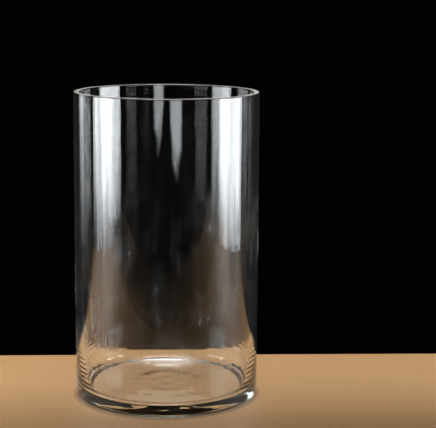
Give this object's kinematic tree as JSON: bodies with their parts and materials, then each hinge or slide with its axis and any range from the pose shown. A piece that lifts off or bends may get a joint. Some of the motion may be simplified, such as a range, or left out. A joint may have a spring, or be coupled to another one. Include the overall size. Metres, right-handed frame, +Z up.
{
  "type": "cylinder vase",
  "caption": "Straight-sided clear glass cylinder vase with a thick rounded floor, an inner corner fillet and a flat mouth with softened edges.",
  "frame": {"origin": "centre of the standing ring, on the plane the vase stands on", "axes": "+Z up along the vase's axis, out of the mouth; +X and +Y are free, because the vase is a body of revolution"},
  "size_m": [0.15, 0.15, 0.25],
  "materials": {
    "clear_glass": "clear soda-lime glass, polished, with faint chill rings near the foot and light water marks"
  },
  "bodies": {
    "root": {"base_disc": "clear_glass", "heel_ring": "clear_glass", "cylinder_wall": "clear_glass", "rim_lip": "clear_glass"}
  },
  "joints": []
}
